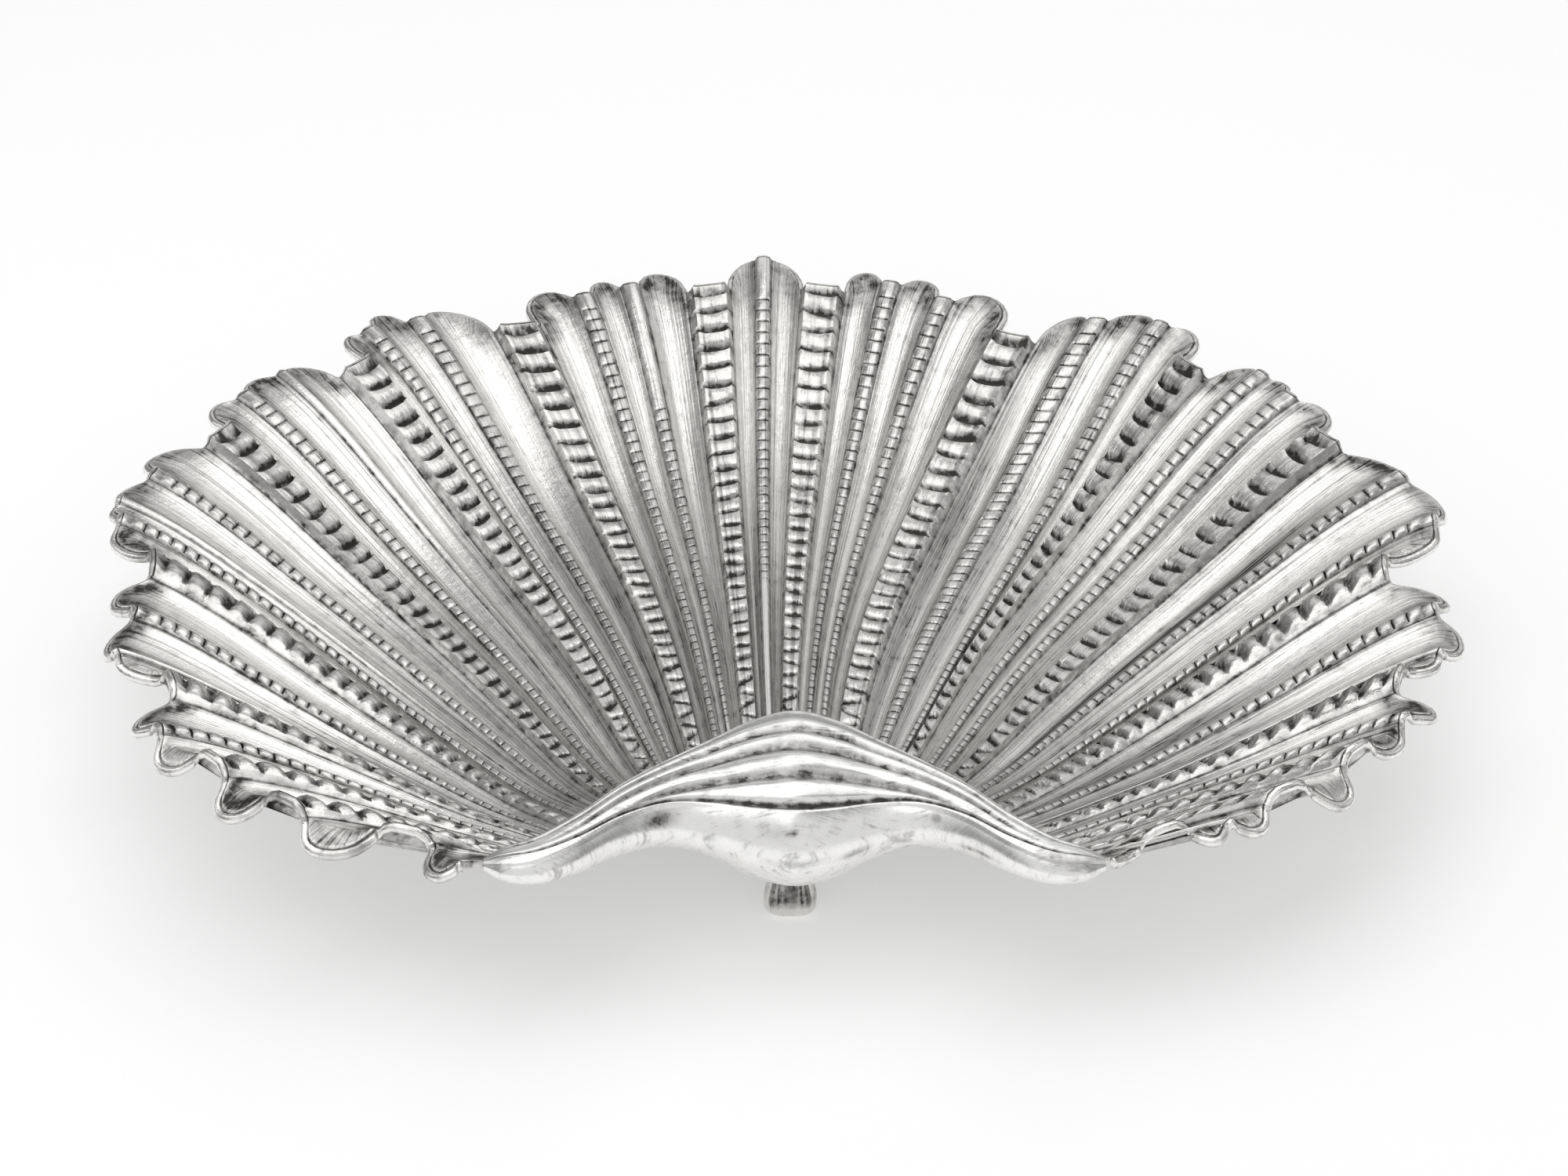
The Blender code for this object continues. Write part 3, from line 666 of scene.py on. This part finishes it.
def draw_column(column, coarse, rim_line):
    """Places, points, patina, painted shade and distance along of one column of the upper face, with its lip.
    """
    strip = column.strip
    flute = strip.kind == "flute"
    edge = abs(column.u) == 1
    places = coarse if flute or edge else strip.rings
    body = column.body(places)
    if flute:
        lobe = np.linspace(0, 1, LOBE_RINGS + 1)[1:]
        spread = np.outer(np.sin(lobe * np.pi / 2), column.inner - column.neck)
        body = np.concatenate([body, column.neck + spread])
        places = np.concatenate([places, 1 + lobe])
    height, fade = base(column.seat, body)
    t = np.minimum(places, 1)
    shade = np.zeros(len(places))
    if flute:
        relief, patina, shade = flute_relief(column, places, t, body, rim_line)
    elif edge:
        relief = 0.0
        patina = RIB_EDGE_TARNISH
    else:
        relief, patina = RELIEFS[strip.kind](column.u, t, strip.phases, strip)
    strength = (RELIEF_AT_COLLAR + (1 - RELIEF_AT_COLLAR) * t) * fade
    points = np.column_stack([body, height + strength * relief])
    lip_steps = np.arange(len(LIP_ANGLES))
    along = length_of(body - column.seat[:2])
    return {
        "places": np.concatenate([places, LIP_PLACE + lip_steps]),
        "points": np.concatenate([points, draw_lip(column, points[-1, 2])]),
        "patina": np.concatenate([np.broadcast_to(patina, places.shape), np.interp(LIP_ANGLES, *LIP_PATINA)]),
        "shade": np.concatenate([shade, np.zeros(len(lip_steps))]),
        "along": np.concatenate([along, along[-1] + 1 + lip_steps]),
    }


def draw_under(column):
    """Points of one column of the underside, a wall below the upper face without its rungs."""
    strip = column.strip
    u = column.u
    flute = strip.kind == "flute"
    rings = np.linspace(0, 1, UNDER_RINGS)
    body = column.body(rings)
    places = rings
    if flute:
        lobe = np.linspace(0, 1, UNDER_LOBE_RINGS + 1)[1:]
        body = np.concatenate([body, column.neck + np.outer(lobe, column.inner - column.neck)])
        places = np.concatenate([rings, 1 + lobe])
    height, fade = base(column.seat, body)
    t = np.minimum(places, 1)
    strength = (RELIEF_AT_COLLAR + (1 - RELIEF_AT_COLLAR) * t) * fade
    relief = np.zeros(len(places))
    if flute:
        hollow = strip.neck * (1 - u * u)
        out = np.clip(places - 1, 0, 1)
        relief = -FLUTE_DEPTH_SHARE * hollow * (1 - out) - strip.lip_share * hollow * out
    elif abs(u) < 1 and strip.kind != "ladder":
        relief += 0.6 * RIB_FORMS[strip.kind].height * (1 - u * u)
    points = np.column_stack([body, height + strength * relief - WALL])
    return {
        "places": places,
        "points": points,
        "patina": np.full(len(places), UNDER_TARNISH),
        "shade": np.zeros(len(places)),
        "along": length_of(points[:, :2] - column.seat[:2]),
    }


def zip_strip(first, second):
    """Triangles between two rows of (place, corner), taking the row that lags at each step."""
    faces = []
    i = j = 0
    while i < len(first) - 1 or j < len(second) - 1:
        step_first = j == len(second) - 1
        if i < len(first) - 1 and j < len(second) - 1:
            step_first = first[i + 1][0] <= second[j + 1][0]
        if step_first:
            faces.append((first[i][1], second[j][1], first[i + 1][1]))
            i += 1
        else:
            faces.append((first[i][1], second[j][1], second[j + 1][1]))
            j += 1
    return faces


def turned_over(faces):
    return [(a, c, b) for a, b, c in faces]


def set_necks(rows):
    """Spreads the neck of each flute's lobe between the two ribs beside it."""
    for before, row, after in zip(rows, rows[1:], rows[2:]):
        if row[0].strip.kind != "flute":
            continue
        left = before[-1].inner
        right = after[0].inner
        for column in row:
            column.neck = left + (column.u + 1) / 2 * (right - left)


def under_row(row):
    """The columns of a strip that the plainer underside has."""
    kind = row[0].strip.kind
    if kind == "flute":
        return row[::2]
    if kind in ("ladder", "end"):
        return [row[0], row[-1]]
    return [row[0], row[len(row) // 2], row[-1]]


class Gathered:
    """The shell's points and their values, added a column at a time."""

    def __init__(self):
        self.points = []
        self.patina = []
        self.shade = []
        self.lay = []

    def add(self, column, drawn):
        """Takes in a column's points, and gives them back as (place, number)."""
        start = len(self.points)
        self.points.extend(drawn["points"])
        self.patina.extend(drawn["patina"])
        self.shade.extend(drawn["shade"])
        strip = column.strip
        across = column.u * (strip.neck if strip.kind == "flute" else RIB_LAY) / 2
        for place, along in zip(drawn["places"], drawn["along"]):
            self.lay.append((across * (LIP_LAY if place >= LIP_PLACE else 1), along, strip.seed))
        return [(place, start + k) for k, place in enumerate(drawn["places"])]


def end_faces(columns, top, under_columns, bottom):
    """Faces between the upper face and the underside along the collar, and along the rim."""
    faces = []
    order = {id(column): k for k, column in enumerate(columns)}
    for end in (0, -1):
        top_edge = [(k, row[end][1]) for k, row in enumerate(top)]
        bottom_edge = [(order[id(column)], row[end][1]) for column, row in zip(under_columns, bottom)]
        between = zip_strip(top_edge, bottom_edge)
        faces += between if end == 0 else turned_over(between)
    return faces


def shell_mesh():
    """The bowl's fine mesh, one closed wall."""
    strips, rows = make_strips()
    columns = [column for row in rows for column in row]
    settle_rim(columns)
    set_necks(rows)
    prepare_rows(strips, rows)
    rim_line = np.array([column.outline for column in columns])
    coarse = 1 - (1 - np.linspace(0, 1, BODY_RINGS)) ** RING_CROWDING
    under_columns = [column for row in rows for column in under_row(row)]
    gathered = Gathered()
    top = [gathered.add(column, draw_column(column, coarse, rim_line)) for column in columns]
    bottom = [gathered.add(column, draw_under(column)) for column in under_columns]
    faces = []
    for left, right in zip(top, top[1:]):
        faces += zip_strip(left, right)
    for left, right in zip(bottom, bottom[1:]):
        faces += turned_over(zip_strip(left, right))
    faces += end_faces(columns, top, under_columns, bottom)
    faces += zip_strip(bottom[0], top[0])
    faces += zip_strip(top[-1], bottom[-1])
    values = (np.array(found) for found in (gathered.patina, gathered.shade, gathered.lay))
    return FineMesh(np.array(gathered.points), faces, *values)


def seam_angle(x):
    """Section angle at which the collar's smooth front band ends and its flutes begin."""
    return SEAM_ANGLE + (SEAM_ANGLE_WING - SEAM_ANGLE) * wing_share(x) ** SEAM_BEND


def collar_relief(x, angle, height):
    """How deep the grooves cut into the collar, and its patina, at x down the rows and angle across them."""
    distance = np.abs(x - COLLAR_X)
    fullness = height / COLLAR_STATIONS[0][4]
    cut = np.zeros((len(x), angle.shape[1]))
    patina = np.full_like(cut, COLLAR_TARNISH)
    for groove in COLLAR_GROOVES:
        place = groove.middle + (groove.wing - groove.middle) * wing_share(x) ** SEAM_BEND
        drawn_in = groove.pinch * np.clip(distance / groove.reach, 0, 1) ** 2
        place = place + (seam_angle(x) - place) * drawn_in
        near = np.exp(-(((angle - place) / groove.width) ** 2))
        strength = 1 - smooth_step(0.55 * groove.reach, groove.reach, distance)
        strength *= GROOVE_DEPTH_AT_TIP + (1 - GROOVE_DEPTH_AT_TIP) * fullness
        cut += groove.depth * strength * near
        shown = 1 - smooth_step(0.75 * groove.reach, 1.05 * groove.reach, distance)
        patina = np.maximum(patina, groove.dark * shown * near)
    for mark in COLLAR_MARKS:
        far_x = (x - mark.x) / mark.half_x
        far_angle = ((angle + 180) % 360 - 180 - mark.angle) / mark.half_angle
        patina = np.maximum(patina, mark.strength * np.exp(-(far_x**2) - far_angle**2))
    fluted = smooth_step(SEAM_ANGLE - 4, SEAM_ANGLE + 6, angle)
    fluted = fluted * (1 - smooth_step(*COLLAR_SWELL_ENDS, angle))
    return COLLAR_SWELL * fluted * fullness - cut, patina


def collar_mesh():
    """The collar's fine mesh: a section of flutes and a smooth band, lofted along X."""
    half = COLLAR_LENGTH / 2
    run = np.sin(np.linspace(-np.pi / 2, np.pi / 2, COLLAR_RINGS)) * COLLAR_TIP_INSET
    x = (COLLAR_X + half * run)[:, None]
    y, z, depth, height = collar_section(x)
    depth = depth * COLLAR_INSET
    height = height * COLLAR_INSET
    dense = np.linspace(*COLLAR_DENSE_ARC, int(COLLAR_SIDES * COLLAR_DENSE_SHARE))
    start, end = COLLAR_DENSE_ARC
    loose = np.linspace(end, start + 360, COLLAR_SIDES - len(dense) + 1)[1:-1]
    angle = np.concatenate([dense, loose])[None, :]
    swell, patina = collar_relief(x, angle, height)
    turn = np.radians(angle)
    normal_y = -np.cos(turn) / depth
    normal_z = np.sin(turn) / height
    size = np.hypot(normal_y, normal_z)
    grid = np.stack([
        np.broadcast_to(x, swell.shape),
        y - depth * np.cos(turn) + swell * normal_y / size,
        z + height * np.sin(turn) + swell * normal_z / size,
    ], -1)
    count = angle.shape[1]
    points = list(grid.reshape(-1, 3))
    patinas = list(patina.ravel())
    faces = []
    for ring in range(len(x) - 1):
        for k in range(count):
            a, b = ring * count + k, ring * count + (k + 1) % count
            faces.append((a, a + count, b + count, b))
    for ring, tip_side in ((0, -1), (len(x) - 1, 1)):
        tip = len(points)
        points.append(np.array([COLLAR_X + tip_side * half, float(y[ring, 0]), float(z[ring, 0])]))
        patinas.append(COLLAR_TARNISH)
        for k in range(count):
            a, b = ring * count + k, ring * count + (k + 1) % count
            faces.append((a, b, tip) if tip_side < 0 else (a, tip, b))
    points = np.array(points)
    lay = np.column_stack([points[:, 1], points[:, 0], np.full(len(points), COLLAR_LAY)])
    return FineMesh(points, faces, np.array(patinas), np.zeros(len(points)), lay)


def foot_mesh(foot):
    """A small flared foot with a dark, grooved hollow in its front face."""
    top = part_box(foot.name)[1].z / MM
    share = np.concatenate([[0.0, 0.012, 0.03], np.linspace(0.06, 1, FOOT_RINGS - 3)])[:, None]
    half_width = smooth_curve([(row[0], row[1]) for row in FOOT_PROFILE], share)
    half_depth = smooth_curve([(row[0], row[2]) for row in FOOT_PROFILE], share)
    turn = (np.arange(FOOT_SIDES) * 2 * np.pi / FOOT_SIDES)[None, :]
    across = half_width * np.sign(np.cos(turn)) * np.abs(np.cos(turn)) ** FOOT_SQUARENESS
    deep = half_depth * np.sign(np.sin(turn)) * np.abs(np.sin(turn)) ** FOOT_SQUARENESS
    u = across / half_width
    inside = 1 - smooth_step(*FOOT_HOLLOW_SIDE, np.abs(u))
    inside = inside * smooth_step(*FOOT_HOLLOW_FOOT, share) * (np.sin(turn) < 0)
    lines = 0.5 + 0.5 * np.cos(u * np.pi * FOOT_LINES)
    deep = deep + inside * (FOOT_HOLLOW * (1 - 0.5 * u * u) + FOOT_LINE_HEIGHT * lines)
    heading = np.radians(foot.heading)
    x = foot.x + across * np.cos(heading) + deep * np.sin(heading)
    y = foot.y - across * np.sin(heading) + deep * np.cos(heading)
    points = np.stack([x, y, np.broadcast_to(share * top, x.shape)], -1).reshape(-1, 3)
    patina = FOOT_TARNISH + inside * (0.32 + 0.4 * lines)
    rings = len(share)
    faces = [tuple(reversed(range(FOOT_SIDES)))]
    for ring in range(rings - 1):
        for k in range(FOOT_SIDES):
            a = ring * FOOT_SIDES + k
            b = ring * FOOT_SIDES + (k + 1) % FOOT_SIDES
            faces.append((a, b, b + FOOT_SIDES, a + FOOT_SIDES))
    faces.append(tuple(range((rings - 1) * FOOT_SIDES, rings * FOOT_SIDES)))
    lay = np.column_stack([points[:, 0], points[:, 2], np.full(len(points), FOOT_LAY)])
    return FineMesh(points, faces, patina.ravel(), np.zeros(len(points)), lay)


def mesh_piece(name, fine, material, node, sharp):
    """A mesh object from a fine mesh, standing for a CAD node."""
    mesh = bpy.data.meshes.new(name)
    mesh.from_pydata((fine.points * MM).tolist(), [], fine.faces)
    # Patina, and the shade attribute that carries the painted shade of the flutes
    for attribute, values in (("patina", fine.patina), ("shade", fine.shade)):
        data = mesh.attributes.new(attribute, "FLOAT", "POINT").data
        data.foreach_set("value", values.astype(np.float32))
    data = mesh.attributes.new("lay", "FLOAT_VECTOR", "POINT").data
    data.foreach_set("vector", fine.lay.astype(np.float32).ravel())
    mesh.materials.append(material)
    mesh.shade_smooth()
    mesh.set_sharp_from_angle(angle=np.radians(sharp))
    obj = bpy.data.objects.new(name, mesh)
    bpy.context.scene.collection.objects.link(obj)
    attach(obj, "root")
    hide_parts(node)


class Nodes:
    """Short calls for building a material's node tree."""

    def __init__(self, tree):
        self.tree = tree

    def add(self, kind, inputs=None, **settings):
        node = self.tree.nodes.new(kind)
        for key, value in settings.items():
            setattr(node, key, value)
        for key, value in (inputs or {}).items():
            if isinstance(value, bpy.types.NodeSocket):
                self.tree.links.new(value, node.inputs[key])
            else:
                node.inputs[key].default_value = value
        return node

    def math(self, operation, *values):
        inputs = dict(enumerate(values))
        return self.add("ShaderNodeMath", inputs, operation=operation).outputs[0]

    def attribute(self, name):
        return self.add("ShaderNodeAttribute", attribute_name=name)

    def noise(self, vector, scale, detail=2.0, roughness=0.5):
        inputs = {"Vector": vector, "Scale": scale, "Detail": detail, "Roughness": roughness}
        return self.add("ShaderNodeTexNoise", inputs).outputs["Fac"]

    def remap(self, value, low, high, to_low=0.0, to_high=1.0):
        inputs = {"Value": value, 1: low, 2: high, 3: to_low, 4: to_high}
        return self.add("ShaderNodeMapRange", inputs, clamp=True).outputs[0]

    def mix(self, factor, first, second):
        node = self.add("ShaderNodeMix", data_type="RGBA")
        for key, value in ((0, factor), (6, first), (7, second)):
            if isinstance(value, bpy.types.NodeSocket):
                self.tree.links.new(value, node.inputs[key])
            else:
                node.inputs[key].default_value = value
        return node.outputs[2]


def silver(finish):
    """Silver with patina in its recesses, painted shade down the flutes, brushed streaks along the ribs and
    small dents.
    """
    material = bpy.data.materials.new(finish.name)
    material.use_nodes = True
    nodes = Nodes(material.node_tree)
    shader = material.node_tree.nodes["Principled BSDF"]
    place = nodes.add("ShaderNodeTexCoord").outputs["Object"]
    patina = nodes.attribute("patina").outputs["Fac"]
    lay = nodes.attribute("lay").outputs["Vector"]
    stretched = nodes.add("ShaderNodeMapping", {"Vector": lay, "Scale": STREAK_SCALE}).outputs[0]
    streak = nodes.noise(stretched, 1.0, 3.0, 0.6)
    drawn = nodes.add("ShaderNodeMapping", {"Vector": lay, "Scale": LINE_SCALE}).outputs[0]
    line = nodes.noise(drawn, 1.0, 2.0, 0.55)
    blotch = nodes.noise(place, BLOTCH_SCALE, 4.0, 0.65)
    grain = nodes.noise(place, GRAIN_SCALE, 2.0, 0.5)
    uneven = nodes.math("MULTIPLY", patina, nodes.remap(blotch, 0.3, 0.65, 0.55, 1.35))
    smudge = nodes.remap(nodes.math("MULTIPLY", blotch, streak), 0.28, 0.42, 0.0, 0.35)
    amount = nodes.math("ADD", nodes.math("MULTIPLY", uneven, finish.patina_gain), smudge)
    amount = nodes.math("ADD", amount, nodes.remap(line, 0.52, 0.68, 0.0, finish.line_stain))
    # Painted shade: the shade attribute, streaked along the ribs, darkens the colour as patina does, for the
    # dark side of each flute's reflection
    shade = nodes.attribute("shade").outputs["Fac"]
    shaded = nodes.math("MULTIPLY", shade, nodes.remap(streak, 0.3, 0.7, 0.45, 1.05))
    amount = nodes.remap(nodes.math("ADD", amount, shaded), 0.05, 1.0)
    colour = nodes.mix(amount, finish.bright, finish.dark)
    rough = nodes.math("ADD", nodes.math("MULTIPLY", amount, 0.25), finish.roughness)
    rough = nodes.math("ADD", rough, nodes.remap(streak, 0.35, 0.7, 0.0, 0.1))
    height = nodes.math("MULTIPLY", streak, finish.streak_height)
    height = nodes.math("ADD", height, nodes.math("MULTIPLY", line, finish.line_height))
    height = nodes.math("ADD", height, nodes.math("MULTIPLY", blotch, finish.dent_height))
    height = nodes.math("ADD", height, nodes.math("MULTIPLY", grain, finish.dent_height * GRAIN_SHARE))
    bump = nodes.add("ShaderNodeBump", {"Height": height, "Strength": 1.0, "Distance": 1.0})
    shader.inputs["Metallic"].default_value = 1.0
    for socket, value in (("Base Color", colour), ("Roughness", rough), ("Normal", bump.outputs[0])):
        material.node_tree.links.new(value, shader.inputs[socket])
    return material


def make_floor():
    """A wide pale floor, lit by the lamps and lifted to white where the camera and the metal look at it."""
    bpy.ops.mesh.primitive_plane_add(size=FLOOR_SIZE, location=(0, 0, 0))
    floor = bpy.context.active_object
    floor.name = "studio_floor"
    material = bpy.data.materials.new("pale floor")
    material.use_nodes = True
    nodes = Nodes(material.node_tree)
    shader = material.node_tree.nodes["Principled BSDF"]
    shader.inputs["Base Color"].default_value = (0.8, 0.8, 0.8, 1)
    shader.inputs["Roughness"].default_value = 0.9
    shader.inputs["Specular IOR Level"].default_value = 0.0
    paths = nodes.add("ShaderNodeLightPath")
    seen = nodes.math("MAXIMUM", paths.outputs["Is Camera Ray"], paths.outputs["Is Glossy Ray"])
    seen = nodes.math("MAXIMUM", seen, paths.outputs["Is Transmission Ray"])
    shader.inputs["Emission Color"].default_value = (1, 1, 1, 1)
    lift = nodes.math("MULTIPLY", seen, FLOOR_LIFT)
    material.node_tree.links.new(lift, shader.inputs["Emission Strength"])
    floor.data.materials.append(material)


def make_light():
    """A dim white world, and large soft lamps that the metal reflects."""
    world = bpy.data.worlds.new("studio")
    world.use_nodes = True
    world.node_tree.nodes["Background"].inputs["Color"].default_value = (1, 1, 1, 1)
    world.node_tree.nodes["Background"].inputs["Strength"].default_value = WORLD_LEVEL
    bpy.context.scene.world = world
    for lamp in LAMPS:
        light = bpy.data.lights.new(lamp.name, "AREA")
        light.shape = "RECTANGLE"
        light.size, light.size_y = lamp.size
        light.energy = lamp.power
        obj = bpy.data.objects.new(lamp.name, light)
        obj.location = lamp.place
        way = Vector(lamp.aim) - Vector(lamp.place)
        obj.rotation_euler = way.to_track_quat("-Z", "Y").to_euler()
        bpy.context.scene.collection.objects.link(obj)


def make_camera():
    camera = bpy.data.cameras.new("camera")
    camera.lens = CAMERA_LENS
    camera.sensor_width = CAMERA_SENSOR
    obj = bpy.data.objects.new("camera", camera)
    tilt = np.radians(CAMERA_ELEVATION)
    obj.location = CAMERA_TARGET - CAMERA_DISTANCE * Vector((0, np.cos(tilt), -np.sin(tilt)))
    obj.rotation_euler = (np.pi / 2 - tilt, 0, 0)
    bpy.context.scene.collection.objects.link(obj)
    bpy.context.scene.camera = obj


def main():
    chased = silver(CHASED)
    polished = silver(POLISHED)
    cast = silver(CAST)
    mesh_piece("shell_bowl_chased", shell_mesh(), chased, "shell_bowl", 55)
    mesh_piece("hinge_collar_polished", collar_mesh(), polished, "hinge_collar", 60)
    for foot in FEET:
        mesh_piece(foot.name + "_grooved", foot_mesh(foot), cast, foot.name, 50)
    make_floor()
    make_light()
    make_camera()
    bpy.context.scene.view_settings.view_transform = "Standard"


main()
